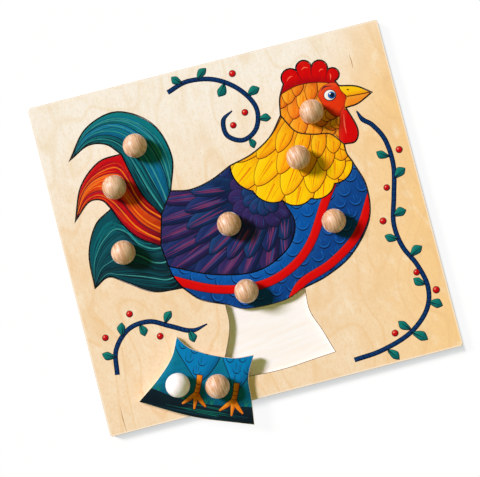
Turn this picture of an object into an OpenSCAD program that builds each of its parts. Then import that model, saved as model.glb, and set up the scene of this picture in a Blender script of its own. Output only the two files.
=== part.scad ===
// Knob puzzle: a plywood tray board with a cockerel sawn out of it in eight pieces.
// The origin is the middle of the board's underside. The board's long side runs along X.

/* [Board] */
// Long side of the board
board_w = 300; // [290:1:340]
// Short side of the board
board_d = 280; // [272:1:320]
// Radius of the board's four upright corners
board_corner_r = 2.5; // [1:0.5:12]
// Thickness of the sawn top board, and so of every puzzle piece
frame_t = 5; // [4:0.5:8]
// Thickness of the backing board glued under it
backing_t = 3; // [2:0.5:5]

/* [Figure] */
// Size of the cockerel against its drawing in millimetres
figure_scale = 1; // [0.85:0.01:1.02]
// Width of the saw cut between two pieces
kerf = 0.8; // [0.4:0.1:1.2]

/* [Knobs] */
// Diameter of a turned knob
knob_d = 20; // [16:0.5:24]
// Height of a knob above its piece
knob_h = 18; // [15:0.5:22]
// Diameter of the knob's foot, where it stands on the piece
foot_d = 11; // [10:0.5:14]
// Height of the knob's foot and the hollow neck above it, up to the ball
neck_h = 3.5; // [2:0.5:5]
// Diameter of the glued dowel pin
dowel_d = 6; // [4:0.5:7]
// Depth of the dowel's hole in the knob
dowel_hole = 10; // [7:0.5:12]
// Gap that the glue fills round a dowel
glue_gap = 0.1; // [0.05:0.05:0.3]

/* [Loose piece] */
// Place of the loose piece's middle along the board's long side
loose_x = -66; // [-76:1:-60]
// Place of the loose piece's middle along the board's short side
loose_y = -118; // [-122:1:-108]
// Turn of the loose piece from the way it sits in its recess
loose_turn = -25; // [-30:1:-18]

/* [Hidden] */

// Segments of one spline span, of one scallop and of a full circle
span_steps = 7;
scallop_steps = 8;
round_steps = 64;

// Heights of the two boards' faces
floor_z = backing_t;
top_z = backing_t + frame_t;

// Start and height of a cut that goes right through the sawn board
cut_low = floor_z - frame_t;
cut_h = 3 * frame_t;

// Middle of a list of neighbouring values, as a smooth curve passes through it
function blend_four(a, b, c, d, t) =
    0.5 * (2 * b + (c - a) * t + (2 * a - 5 * b + 4 * c - d) * t * t + (3 * b - a - 3 * c + d) * t * t * t);

// Smooth curve through the points, without its last point, so that curves chain
function smooth_line(p) = let (last = len(p) - 1) [
    for (i = [0 : last - 1], s = [0 : span_steps - 1])
        let (
            before = i == 0 ? 2 * p[0] - p[1] : p[i - 1],
            after = i + 2 > last ? 2 * p[last] - p[last - 1] : p[i + 2]
        )
        blend_four(before, p[i], p[i + 1], after, s / span_steps)
];

// Round scallop from one point to the next, without its last point; it stands out to the right by rise,
// or to the left where rise is negative
function scallop(from, to, rise) = let (
    half = norm(to - from) / 2,
    radius = (half * half + rise * rise) / (2 * abs(rise)),
    along = (to - from) / (2 * half),
    out = sign(rise) * [along.y, -along.x],
    centre = (from + to) / 2 + out * (abs(rise) - radius),
    sweep = 4 * atan(abs(rise) / half)
) [
    for (s = [0 : scallop_steps - 1])
        let (a = sweep * (s / scallop_steps - 0.5))
        centre + radius * (out * cos(a) + along * sin(a))
];

// Row of scallops through the points
function scallops(p, rise) = [for (i = [0 : len(p) - 2]) each scallop(p[i], p[i + 1], rise)];

// The same curve walked the other way, from its end up to just before its start
function backwards(curve, end) = concat([end], [for (i = [len(curve) - 1 : -1 : 1]) curve[i]]);

// Outline moved inwards by a distance; the outline runs anticlockwise
function moved_in(p, distance) = let (n = len(p)) [
    for (i = [0 : n - 1])
        let (
            a = p[(i + n - 1) % n],
            b = p[i],
            c = p[(i + 1) % n],
            first = [a.y - b.y, b.x - a.x] / norm(b - a),
            second = [b.y - c.y, c.x - b.x] / norm(c - b)
        )
        b + distance * (first + second) / (1 + first * second)
];

// Meeting points of the saw cuts, in the drawing's millimetres
breast_top = [100, 30];
throat = [97, 46];
nape = [52, 82];
shoulder = [1, 52];
hackle_tip = [36, 13];
tail_top = [-52, 44];
tail_upper = [-64, 27];
tail_lower = [-71, 2];
wing_tip = [-69, -16];
rump = [-62, -36];
plume_fork_upper = [-84, 84];
plume_fork_lower = [-103, 42];
belly_left = [-31, -58];
belly_right = [35, -61];

// How far a lobe of the comb and a feather's end at the hackle's edge stand out
comb_lobe = 7;
feather_rise = 5;

// Outer edges of the figure, anticlockwise from the right of the feet
breast_edge = smooth_line([belly_right, [56, -56], [80, -44], [101, -20], [106, 7], breast_top]);
throat_edge = smooth_line([breast_top, [97, 38], throat]);
wattle_edge = smooth_line([throat, [107, 46], [111, 56], [106, 75]]);
beak_edge = concat(
    smooth_line([[106, 75], [117, 76], [130, 82]]),
    smooth_line([[130, 82], [119, 90], [105, 94]])
);
comb_edge = concat(
    smooth_line([[105, 94], [103, 99]]),
    scallops([[103, 99], [99, 109], [87, 115], [74, 115], [61, 107]], comb_lobe)
);
head_back_edge = smooth_line([[61, 107], [55, 96], nape]);
hackle_back_edge = smooth_line([nape, [39, 67], [21, 57], shoulder]);
back_edge = smooth_line([shoulder, [-18, 44], [-36, 41], tail_top]);
upper_plume_edge = concat(
    smooth_line([tail_top, [-44, 72], [-53, 102], [-79, 119], [-107, 112], [-126, 90]]),
    smooth_line([[-126, 90], [-109, 98], [-94, 95], plume_fork_upper])
);
middle_plume_edge = concat(
    smooth_line([plume_fork_upper, [-104, 82], [-123, 66], [-134, 40]]),
    smooth_line([[-134, 40], [-120, 52], [-109, 51], plume_fork_lower])
);
lower_plume_edge = concat(
    smooth_line([plume_fork_lower, [-119, 32], [-130, 10], [-132, -18]]),
    smooth_line([[-132, -18], [-119, -12], [-106, -20], [-86, -33], rump])
);
rump_edge = smooth_line([rump, [-50, -49], belly_left]);
feet_edge = concat(
    smooth_line([belly_left, [-32, -76], [-40, -96], [-52, -117]]),
    smooth_line([[-52, -117], [-4, -121], [46, -118]]),
    smooth_line([[46, -118], [40, -98], [34, -80], belly_right])
);

// Saw cuts between the pieces
head_cut = smooth_line([throat, [88, 57], [75, 60], [61, 66], nape]);
hackle_body_cut = scallops([breast_top, [81, 16], [59, 9], hackle_tip], -feather_rise);
hackle_wing_cut = scallops([hackle_tip, [14, 27], shoulder], -feather_rise);
wing_body_cut = smooth_line([hackle_tip, [41, -8], [29, -27], [1, -38], [-34, -32], wing_tip]);
wing_tail_upper_cut = smooth_line([tail_top, tail_upper]);
wing_tail_middle_cut = smooth_line([tail_upper, tail_lower]);
wing_tail_lower_cut = smooth_line([tail_lower, wing_tip]);
body_tail_cut = smooth_line([wing_tip, [-67, -26], rump]);
upper_plume_cut = smooth_line([tail_upper, [-75, 46], [-80, 65], plume_fork_upper]);
lower_plume_cut = smooth_line([tail_lower, [-87, 13], [-97, 27], plume_fork_lower]);
belly_cut = smooth_line([belly_left, [-15, -66], [16, -67], belly_right]);

figure_outline = concat(
    breast_edge, throat_edge, wattle_edge, beak_edge, comb_edge, head_back_edge, hackle_back_edge, back_edge,
    upper_plume_edge, middle_plume_edge, lower_plume_edge, rump_edge, feet_edge
);
head_outline = concat(wattle_edge, beak_edge, comb_edge, head_back_edge, backwards(head_cut, nape));
hackle_outline = concat(throat_edge, head_cut, hackle_back_edge,
    backwards(hackle_wing_cut, shoulder), backwards(hackle_body_cut, hackle_tip));
wing_outline = concat(hackle_wing_cut, back_edge, wing_tail_upper_cut, wing_tail_middle_cut,
    wing_tail_lower_cut, backwards(wing_body_cut, wing_tip));
body_outline = concat(breast_edge, hackle_body_cut, wing_body_cut, body_tail_cut, rump_edge, belly_cut);
upper_plume_outline = concat(upper_plume_edge, backwards(upper_plume_cut, plume_fork_upper),
    backwards(wing_tail_upper_cut, tail_upper));
middle_plume_outline = concat(upper_plume_cut, middle_plume_edge, backwards(lower_plume_cut, plume_fork_lower),
    backwards(wing_tail_middle_cut, tail_lower));
lower_plume_outline = concat(lower_plume_cut, lower_plume_edge, backwards(body_tail_cut, rump),
    backwards(wing_tail_lower_cut, wing_tip));
feet_outline = concat(feet_edge, backwards(belly_cut, belly_right));

// Middles of the knobs, in the drawing's millimetres
head_at = [77, 78];
hackle_at = [57, 44];
wing_at = [-12, 5];
body_front_at = [72, -14];
body_rear_at = [-12, -52];
upper_plume_at = [-71, 87];
middle_plume_at = [-96, 58];
lower_plume_at = [-102, 4];
feet_middle = [-2, -94];
feet_left_at = feet_middle + [-20, -3];
feet_right_at = feet_middle + [12, 2];

// The knob's ball starts this many degrees below its widest ring
ball_start = 26;
ball_h = knob_h - neck_h;
ball_steps = 14;

// The knob's foot has a thin upright edge, and the neck above it draws in by neck_in in a hollow quarter curve
foot_edge = 0.6;
neck_in = 1.1;
neck_steps = 5;

// Board with round upright corners, from a lower to an upper face
module board_blank(low, thickness) {
    inner_w = board_w - 2 * board_corner_r;
    inner_d = board_d - 2 * board_corner_r;
    translate([0, 0, low]) {
        translate([-board_w / 2, -inner_d / 2, 0]) cube([board_w, inner_d, thickness]);
        translate([-inner_w / 2, -board_d / 2, 0]) cube([inner_w, board_d, thickness]);
        for (x = [-1, 1], y = [-1, 1])
            translate([x * inner_w / 2, y * inner_d / 2, 0])
                cylinder(r = board_corner_r, h = thickness, $fn = round_steps);
    }
}

module backing_board() {
    color("whitesmoke") board_blank(0, backing_t);
}

module frame_board() {
    color("wheat") difference() {
        board_blank(floor_z, frame_t);
        translate([0, 0, cut_low])
            linear_extrude(height = cut_h) polygon(moved_in(figure_scale * figure_outline, -kerf / 2));
    }
}

// Puzzle piece sawn along its outline, with a hole through it for each dowel
module sawn_piece(outline, knob_places) {
    difference() {
        translate([0, 0, floor_z])
            linear_extrude(height = frame_t) polygon(moved_in(figure_scale * outline, kerf / 2));
        for (at = knob_places)
            translate([figure_scale * at.x, figure_scale * at.y, cut_low])
                cylinder(d = dowel_d + 2 * glue_gap, h = cut_h, $fn = round_steps);
    }
}

// Half section of a knob: a foot, a hollow neck and a ball
knob_profile = concat(
    [[dowel_d / 2 + glue_gap, 0], [foot_d / 2, 0]],
    [for (s = [0 : neck_steps])
        let (a = 90 * s / neck_steps)
        [foot_d / 2 - neck_in * sin(a), foot_edge + (neck_h - foot_edge) * (1 - cos(a))]],
    [for (s = [1 : ball_steps])
        let (a = -ball_start + (90 + ball_start) * s / ball_steps)
        [knob_d / 2 * cos(a), neck_h + ball_h * (sin(a) + sin(ball_start)) / (1 + sin(ball_start))]]
);

module knob(at) {
    color("burlywood") translate([figure_scale * at.x, figure_scale * at.y, top_z])
        rotate_extrude($fn = round_steps)
            polygon(concat(knob_profile,
                [[0, dowel_hole], [dowel_d / 2 + glue_gap, dowel_hole]]));
}

// Dowel pin with a chamfer at each end, from the underside of its piece to the end of the hole in its knob
module dowel(at) {
    chamfer = 0.6;
    length = frame_t + dowel_hole;
    color("tan") translate([figure_scale * at.x, figure_scale * at.y, floor_z])
        rotate_extrude($fn = round_steps)
            polygon([
                [0, 0], [dowel_d / 2 - chamfer, 0], [dowel_d / 2, chamfer],
                [dowel_d / 2, length - chamfer], [dowel_d / 2 - chamfer, length], [0, length]
            ]);
}

// Moves a seated piece, or what is on it, to where it lies loose on the board
module laid_loose() {
    middle = figure_scale * feet_middle;
    translate([loose_x, loose_y, frame_t])
        rotate(loose_turn)
            translate([-middle.x, -middle.y, 0])
                children();
}

module head_piece() { color("orangered") sawn_piece(head_outline, [head_at]); }
module hackle_piece() { color("gold") sawn_piece(hackle_outline, [hackle_at]); }
module wing_piece() { color("darkslateblue") sawn_piece(wing_outline, [wing_at]); }
module body_piece() { color("royalblue") sawn_piece(body_outline, [body_front_at, body_rear_at]); }
module upper_plume_piece() { color("teal") sawn_piece(upper_plume_outline, [upper_plume_at]); }
module middle_plume_piece() { color("crimson") sawn_piece(middle_plume_outline, [middle_plume_at]); }
module lower_plume_piece() { color("darkcyan") sawn_piece(lower_plume_outline, [lower_plume_at]); }
module feet_piece() { color("darkcyan") laid_loose() sawn_piece(feet_outline, [feet_left_at, feet_right_at]); }

backing_board();
frame_board();
head_piece();
hackle_piece();
wing_piece();
body_piece();
upper_plume_piece();
middle_plume_piece();
lower_plume_piece();
feet_piece();
knob(head_at);  // head_knob
knob(hackle_at);  // hackle_knob
knob(wing_at);  // wing_knob
knob(body_front_at);  // body_front_knob
knob(body_rear_at);  // body_rear_knob
knob(upper_plume_at);  // upper_plume_knob
knob(middle_plume_at);  // middle_plume_knob
knob(lower_plume_at);  // lower_plume_knob
laid_loose() knob(feet_left_at);  // feet_left_knob
laid_loose() knob(feet_right_at);  // feet_right_knob
dowel(head_at);  // head_dowel
dowel(hackle_at);  // hackle_dowel
dowel(wing_at);  // wing_dowel
dowel(body_front_at);  // body_front_dowel
dowel(body_rear_at);  // body_rear_dowel
dowel(upper_plume_at);  // upper_plume_dowel
dowel(middle_plume_at);  // middle_plume_dowel
dowel(lower_plume_at);  // lower_plume_dowel
laid_loose() dowel(feet_left_at);  // feet_left_dowel
laid_loose() dowel(feet_right_at);  // feet_right_dowel
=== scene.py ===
# Knob puzzle: a plywood tray board with a cockerel sawn out of it in eight painted pieces.
# The pieces lift straight out by turned beech knobs. One piece lies loose beside its empty recess.
import math
from collections import Counter, defaultdict, namedtuple
from functools import partial

import bmesh
import bpy
import numpy as np
from mathutils import Matrix, Vector
from mathutils.geometry import delaunay_2d_cdt


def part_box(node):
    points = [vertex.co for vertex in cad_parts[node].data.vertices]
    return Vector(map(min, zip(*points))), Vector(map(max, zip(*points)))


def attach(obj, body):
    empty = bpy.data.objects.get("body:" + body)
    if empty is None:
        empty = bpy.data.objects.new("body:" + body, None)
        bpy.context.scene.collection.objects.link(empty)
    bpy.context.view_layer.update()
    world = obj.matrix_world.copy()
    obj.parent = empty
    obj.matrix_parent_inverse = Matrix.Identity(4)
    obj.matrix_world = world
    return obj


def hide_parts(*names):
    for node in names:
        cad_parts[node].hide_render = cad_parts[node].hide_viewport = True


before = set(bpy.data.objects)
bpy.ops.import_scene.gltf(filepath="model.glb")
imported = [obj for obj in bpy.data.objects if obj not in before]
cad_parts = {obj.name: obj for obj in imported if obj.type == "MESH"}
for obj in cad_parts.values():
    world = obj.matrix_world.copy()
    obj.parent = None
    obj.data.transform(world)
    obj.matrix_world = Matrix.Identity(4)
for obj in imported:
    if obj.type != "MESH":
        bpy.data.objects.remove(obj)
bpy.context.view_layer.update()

MM = 0.001

# Backing board
# A 3 mm board glued under the sawn one. Its upper face is lacquered white and is the floor of every recess,
# with faint warm ripples of grain. Its edges show the plies, and its underside is bare.

# Half the board's sides, and how far its rims and its pieces' are eased, in millimetres
HALF_W, HALF_D = (round(side / MM, 3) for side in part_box("backing_board")[1].xy)
BOARD_RIM, PIECE_RIM = 0.25, 0.16


def linear(hex_colour):
    """Linear RGBA of an sRGB hex colour."""
    channels = [int(hex_colour[i:i + 2], 16) / 255 for i in (1, 3, 5)]
    return [c / 12.92 if c <= 0.04045 else ((c + 0.055) / 1.055) ** 2.4 for c in channels] + [1.0]


def add_node(tree, kind, inputs=(), operation=None, take=0, **settings):
    """Adds a node with its settings, sets or links its inputs, in order or by name, and gives an output.
    Colours may be hex."""
    node = tree.nodes.new("ShaderNode" + kind)
    if operation:
        settings["operation"] = operation
    for name, value in settings.items():
        setattr(node, name, value)
    for socket, value in inputs.items() if isinstance(inputs, dict) else enumerate(inputs):
        if isinstance(value, bpy.types.NodeSocket):
            tree.links.new(value, node.inputs[socket])
        else:
            node.inputs[socket].default_value = linear(value) if isinstance(value, str) else value
    return node.outputs[take] if node.outputs else node


def blank_material(name):
    """An empty material, what adds a node to it, and its point in millimetres."""
    material = bpy.data.materials.new(name)
    material.use_nodes = True
    material.node_tree.nodes.clear()
    add = partial(add_node, material.node_tree)
    return material, add, add("VectorMath", {0: add("TexCoord", take="Object"), "Scale": 1 / MM}, "SCALE")


def grain(add, point, size, low=0.0, high=1.0, most=1.0, turn=0.0, detail=3.0):
    """Blots of wood grain or brushwork, size millimetres along each axis and turned about Z: 0 where the
    noise is under low, and most where it is over high."""
    place = add("Mapping", {"Vector": point, "Rotation": (0, 0, turn), "Scale": size}, vector_type="TEXTURE")
    noise = add("TexNoise", {"Vector": place, "Scale": 1.0, "Detail": detail, "Roughness": 0.55})
    if (low, high, most) == (0, 1, 1):
        return noise
    return add("MapRange", (noise, low, high, 0.0, most), interpolation_type="SMOOTHSTEP")


def layered(add, ground, *coats):
    """Colour of a ground with coats on it, each one a share and a colour."""
    for share, colour in coats:
        ground = add("Mix", {"Factor": share, "A": ground, "B": colour}, take="Result", data_type="RGBA")
    return ground


def surfaced(add, colour, roughness, relief, strength, depth, more=()):
    """Ends a material with its shader; the relief stands depth millimetres high."""
    bump = add("Bump", {"Height": relief, "Strength": strength, "Distance": depth * MM})
    shader = {"Base Color": colour, "Roughness": roughness, "Normal": bump, **dict(more)}
    add("OutputMaterial", {"Surface": add("BsdfPrincipled", shader)})


def plies(add, point, base, inked=0.0):
    """Colour of a sawn plywood edge: layers 1 mm thick, light where they run lengthwise and darker at end
    grain, glue lines between them, drawn 0.16 mm thick so that they show, and painted shade where inked is 1:
    near black down the top 2 mm, so that a saw cut reads dark."""
    ply, glue, wave = 1.0, 0.16, 0.16
    height = add("SeparateXYZ", [point], take="Z")
    above = add("Math", (grain(add, point, (9, 9, 9)), wave, height), "MULTIPLY_ADD")
    above = add("Math", (above, -base - wave / 2), "ADD")
    odd = add("Math", (add("Math", (above, 2 * ply), "MODULO"), ply), "GREATER_THAN")
    line = add("Math", (add("Math", (above, ply / 2), "PINGPONG"), glue / 2), "LESS_THAN")
    line = add("Math", (line, 0.55), "MULTIPLY")
    pores = grain(add, point, (0.5, 0.5, 0.12), 0.42, 0.7, 0.45)
    # Painted shade: near black down the top of a sawn side that stands in a saw cut
    run = add("Math", (add("MapRange", (above, 2.6, 4.6, 0.0, 0.85)), inked), "MULTIPLY")
    return layered(add, "#f3dfba", (odd, "#cda272"), (pores, "#8a6238"), (line, "#6b4220"), (run, "#1c1814"))


# White lacquer on top, with the grain's ripples and fibres as faint warm lines, and bare wood below
white_backing, add, point = blank_material("white_lacquered_backing")
ripple = grain(add, point, (46, 3.4, 10), 0.36, 0.68, turn=0.07)
fibre = grain(add, point, (7, 0.5, 5), 0.4, 0.7, 0.2)
up = add("SeparateXYZ", [add("NewGeometry", take="Normal")], take="Z")
lacquer = layered(add, "#fbf6ee", (ripple, "#faf0e2"), (fibre, "#f5e8da"))
bare = layered(add, "#e6d0a6", (ripple, "#d8ba88"), (fibre, "#ab8050"))
whole = layered(add, plies(add, point, 0.0), (add("Math", (up, 0.5), "GREATER_THAN"), lacquer),
                (add("Math", (up, -0.5), "LESS_THAN"), bare))
surfaced(add, whole, 0.5, ripple, strength=0.25, depth=0.03)


def satin(name, colour, shade, glow, turn=0.5, streaks=0.5):
    """Satin paint on plywood, thin enough for the grain to tell: its colour, the darker and the lighter one
    that the brush worked in towards a shape's edges, and soft brush streaks 2 mm wide."""
    material, add, point = blank_material(name)
    brush = grain(add, point, (17, 2.1, 9), turn=turn)
    uneven = add("Math", (grain(add, point, (9, 11, 9), detail=2.0), 0.6, -0.8), "MULTIPLY_ADD")
    uneven = add("Math", (brush, uneven), "ADD")
    worked = []
    for side, pull, most in (("dark", 1.5, 0.7), ("light", -1.0, 0.5)):
        share = add("Attribute", take="Fac", attribute_name=side)
        share = add("Math", (uneven, pull * streaks, share), "MULTIPLY_ADD", use_clamp=True)
        worked.append(add("Math", (share, most), "MULTIPLY"))
    pores = grain(add, point, (0.5, 4.5, 4), 0.5, 0.75, 0.16, detail=2.0)
    pigment = layered(add, colour, (worked[0], shade), (worked[1], glow), (pores, shade))
    rough = add("Math", (brush, 0.2, 0.38), "MULTIPLY_ADD")
    surfaced(add, pigment, rough, pores, strength=0.35, depth=0.03, more={"Specular IOR Level": 0.05})
    return material


# A painted shape: its outline in millimetres, how far in from it the brush's dark and light sides reach, and
# the line along which it fades from dark
Shape = namedtuple("Shape", "outline paint soft fade", defaults=(0.0, None))

# A shape's darker side is its lower right, in the board's directions. Its edges are sampled every 0.8 mm, and
# no place counts as nearer to them than 0.35 mm.
DARK_SIDE = np.array((0.507, -0.861))
SAMPLE, NEAREST = 0.8, 0.35


def area_of(outline):
    """Area in an outline, negative where it runs clockwise."""
    x, y = outline[:, 0], outline[:, 1]
    return 0.5 * float(np.dot(x, np.roll(y, -1)) - np.dot(y, np.roll(x, -1)))


def anticlockwise(outline):
    outline = np.asarray(outline, float)
    return outline if area_of(outline) > 0 else outline[::-1]


def left_of(steps):
    """Unit vectors to the left of a step, or of each of a row of steps."""
    steps = np.asarray(steps, float)
    length = np.maximum(np.linalg.norm(steps, axis=-1, keepdims=True), 1e-9)
    return np.stack((-steps[..., 1], steps[..., 0]), axis=-1) / length


def moved_in(outline, distance):
    """Outline a distance further in, or further out where it is negative."""
    p = anticlockwise(outline)
    inward = left_of(np.roll(p, -1, axis=0) - p)
    before = np.roll(inward, 1, axis=0)
    # A sharp corner moves less far than to where the two lines beside it would meet
    both = np.maximum(1 + np.sum(inward * before, axis=1), 0.35)
    return p + distance * (inward + before) / both[:, None]


def brushed(points, shape):
    """How dark and how light the brush left each point of a shape, by how near its lower right and its upper
    left edge it is, and by its fade."""
    if shape.soft <= 0:
        return np.zeros((len(points), 2))
    step = np.roll(shape.outline, -1, axis=0) - shape.outline
    length = np.linalg.norm(step, axis=1)
    keep = length > 1e-6
    start, step, length = shape.outline[keep], step[keep], length[keep]
    count = np.maximum(1, np.ceil(length / SAMPLE).astype(int))
    middles = np.concatenate([
        a + d * ((np.arange(n) + 0.5) / n)[:, None] for a, d, n in zip(start, step, count)])
    away = np.maximum(np.linalg.norm(points[:, None, :] - middles[None], axis=2), NEAREST)
    # Such weights add up to pi / (2 d^3) at a distance d from a straight edge
    weight = np.repeat(length / count, count) / away ** 4
    total = weight.sum(axis=1)
    near = np.exp(-((math.pi / (2 * total)) ** (1 / 3) / shape.soft) ** 2)
    outward = -np.repeat(left_of(step), count, axis=0)
    lean = (weight @ outward / total[:, None]) @ DARK_SIDE
    dark = near * np.clip(0.25 + lean, 0, 1)
    if shape.fade is not None:
        a, b = np.array(shape.fade, float)
        t = np.clip((points - a) @ (b - a) / np.dot(b - a, b - a), 0, 1)
        dark = np.maximum(dark, (1 - t) ** 1.5)
    return np.stack((dark, near * np.clip(-lean - 0.1, 0, 1)), axis=1)


def well_inside(place, margin=3.0):
    """Whether a place, in metres, is over margin millimetres in from the board's four sides."""
    return abs(place.x) < (HALF_W - margin) * MM and abs(place.y) < (HALF_D - margin) * MM


def eased_copy(node, rim, inner_rim=None):
    """Copy of a packed board or piece, its rims eased by rim millimetres and its openings' by inner_rim."""
    mesh = bmesh.new()
    mesh.from_mesh(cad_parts[node].data)
    bmesh.ops.remove_doubles(mesh, verts=mesh.verts, dist=1e-6)
    bmesh.ops.dissolve_limit(mesh, angle_limit=math.radians(1), verts=mesh.verts, edges=mesh.edges)
    outer, inner = [], []
    for edge in mesh.edges:
        if len({abs(face.normal.z) > 0.9 for face in edge.link_faces}) == 2:
            opening = inner_rim and all(well_inside(v.co) for v in edge.verts)
            (inner if opening else outer).append(edge)
    for edges, offset in ((outer, rim), (inner, inner_rim)):
        if edges:
            bmesh.ops.bevel(mesh, geom=edges, affect="EDGES", offset=offset * MM, segments=2, profile=0.5,
                            material=-1, clamp_overlap=False)
    return mesh


def opened_top(mesh):
    """Takes the upper face off, and gives its height and its rims, the outer one first, as loops of vertices
    and as outlines in millimetres."""
    tops = [f for f in mesh.faces if f.normal.z > 0.999]
    height = max(f.calc_center_median().z for f in tops)
    tops = [f for f in tops if abs(f.calc_center_median().z - height) < 1e-6]
    bmesh.ops.delete(mesh, geom=tops, context="FACES")
    open_edges = {e for e in mesh.edges if len(e.link_faces) == 1}
    loops = []
    while open_edges:
        loop = list(open_edges.pop().verts)
        while ahead := [e for e in loop[-1].link_edges if e in open_edges]:
            open_edges.discard(ahead[0])
            loop.append(ahead[0].other_vert(loop[-1]))
        loops.append(loop[:-1] if loop[-1] is loop[0] else loop)
    rims = [np.array([(v.co.x, v.co.y) for v in loop]) / MM for loop in loops]
    outer = max(range(len(rims)), key=lambda k: abs(area_of(rims[k])))
    loops.insert(0, loops.pop(outer))
    rims.insert(0, rims.pop(outer))
    return height, loops, rims


def cut_rim(sheet, flat, height, vert_at):
    """Splits the rim where a shape that runs off the face cuts it, and adds the new vertices to vert_at."""
    uses = Counter(frozenset(pair) for t in sheet for pair in zip(t, t[1:] + t[:1]))
    beside = defaultdict(list)
    for a, b in (pair for pair, count in uses.items() if count == 1):
        beside[a].append(b)
        beside[b].append(a)
    for first in [k for k in beside if k in vert_at]:
        for second in beside[first]:
            chain, before = [], first
            while second not in vert_at:
                chain.append(second)
                before, second = second, next(k for k in beside[second] if k != before)
            start = vert_at[first]
            for index in chain:
                edge = next((e for e in start.link_edges if e.other_vert(start) is vert_at[second]), None)
                if edge is None:
                    break
                start = vert_at[index] = bmesh.utils.edge_split(edge, start, 0.5)[1]
                start.co = (*flat[index] * MM, height)


def covered(mesh, ground, art, spacing, rim_paint, everywhere=True):
    """Closes an opened top with triangles cut along every shape's outline, so that each shape is a patch of
    the face, the last one drawn on top. The rim paint runs over the eased edge, and round a wide opening as a
    thin line. Gives the paints in use, in material order after the wood's."""
    rim_faces = [f for f in mesh.faces if 0.2 < f.normal.z < 0.99]
    height, loops, rims = opened_top(mesh)
    wide, pitch, part = 100, spacing * 0.97, 1500
    lines = [Shape(moved_in(rim, -0.2), rim_paint) for rim in rims[1:] if abs(area_of(rim)) > wide]
    shapes = [s._replace(outline=anticlockwise(s.outline)) for s in [Shape(rims[0], *ground)] + lines + art]
    points, faces, seeds = [], [], set()
    for outline in rims + [s.outline for s in shapes[1:]]:
        ring = list(range(len(points), len(points) + len(outline)))
        faces.append(ring[::-1] if area_of(outline) < 0 else ring)
        points += outline.tolist()
    for outline in [rims[0]] if everywhere else [s.outline for s in art]:
        reach = np.concatenate((outline.min(0), outline.max(0))) / spacing
        left, low, right, high = reach.astype(int).tolist()
        seeds |= {(round((column + 0.5 * (row % 2)) * spacing, 4), round(row * pitch, 4))
                  for row in range(low, high + 1) for column in range(left, right + 1)}
    flat, _, triangles, sources, _, owners = delaunay_2d_cdt(
        [Vector(p) for p in points + sorted(seeds)], [], faces, 0, 1e-4, True)
    flat = np.array([tuple(p) for p in flat])
    sheet, owner = [], []
    for triangle, inside in zip(triangles, owners):
        if 0 in inside and not any(0 < k < len(rims) for k in inside):
            sheet.append(triangle)
            owner.append(max(0, max(inside) - len(rims) + 1))
    rim_verts = sum(loops, [])
    vert_at = {index: rim_verts[source] for index, known in enumerate(sources) for source in known
               if source < len(rim_verts)}
    cut_rim(sheet, flat, height, vert_at)
    sides = [mesh.loops.layers.float.new(side) for side in ("dark", "light")]
    sheet, owner = np.array(sheet), np.array(owner)
    tones = np.zeros(sheet.shape + (2,))
    for k in np.unique(owner):
        used, back = np.unique(sheet[owner == k], return_inverse=True)
        # A part at a time, because the distances to every edge take much memory
        parts = [brushed(flat[used[s:s + part]], shapes[k]) for s in range(0, len(used), part)]
        tones[owner == k] = np.concatenate(parts)[back.reshape(-1, 3)]
    for face in rim_faces:
        face.material_index = int(not lines or well_inside(face.calc_center_median()))
    paints = [rim_paint]
    for triangle, k, corner_tones in zip(sheet, owner, tones):
        for index in triangle:
            if index not in vert_at:
                vert_at[index] = mesh.verts.new((*flat[index] * MM, height))
        face = mesh.faces.new([vert_at[index] for index in triangle])
        paint = shapes[k].paint
        if paint not in paints:
            paints.append(paint)
        face.material_index = 1 + paints.index(paint)
        for corner, tone in zip(face.loops, corner_tones):
            for side, value in zip(sides, tone):
                corner[side] = value
    return paints


def shown(name, data):
    """Puts an object of a mesh, a light or a camera in the scene."""
    item = bpy.data.objects.new(name, data)
    bpy.context.scene.collection.objects.link(item)
    return item


def made_mesh(mesh, name, materials):
    """Turns a bmesh into a mesh with its materials."""
    data = bpy.data.meshes.new(name)
    mesh.to_mesh(data)
    mesh.free()
    for material in materials:
        data.materials.append(material)
    return data


def finished(mesh, name, materials, node, body, crisp=20):
    """Makes the piece that stands for a node, sharp where its faces meet at more than crisp degrees."""
    data = made_mesh(mesh, name, materials)
    data.shade_smooth()
    data.set_sharp_from_angle(angle=math.radians(crisp))
    piece = shown(name, data)
    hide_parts(node)
    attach(piece, body)


# Blue-black ink for the print's lines. On the backing it also lies in bands under the saw cuts, painted shade
# that makes each cut read dark
black_ink = satin("blue_black_ink", "#0b1524", "#05080f", "#1c2c40", streaks=0.2)
cuts = [opened_top(eased_copy(name + "_piece", PIECE_RIM))[2][0]
        for name in ("head", "hackle", "wing", "body", "upper_plume", "middle_plume", "lower_plume")]
# Painted shade on the backing: blue-black from 0.7 mm outside each piece's outline to 0.1 mm inside it
ink = [Shape(moved_in(cut, inset), paint) for inset, paint in ((-0.7, black_ink), (0.1, white_backing))
       for cut in cuts]
mesh = eased_copy("backing_board", BOARD_RIM)
paints = covered(mesh, (white_backing,), ink, 2.0, white_backing, everywhere=False)
finished(mesh, "backing", [white_backing] + paints, "backing_board", "board")

# Sawn board
# A 5 mm plywood board faced with pale birch veneer and lacquered clear. The figure was sawn out of its
# middle, its edges were eased with a few strokes of paper, and a leafy vine is printed in navy round it.


def past_board(add, point, x_share=1.0):
    """How far a point is past the board's sides, in millimetres, negative on the board; a distance past the
    left or right side counts x_share times."""
    past = []
    for axis, half, share in (("X", HALF_W, x_share), ("Y", HALF_D, 1.0)):
        away = add("Math", [add("SeparateXYZ", [point], take=axis)], "ABSOLUTE")
        past.append(add("Math", (away, share, -half * share), "MULTIPLY_ADD"))
    return add("Math", past, "MAXIMUM")


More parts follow.
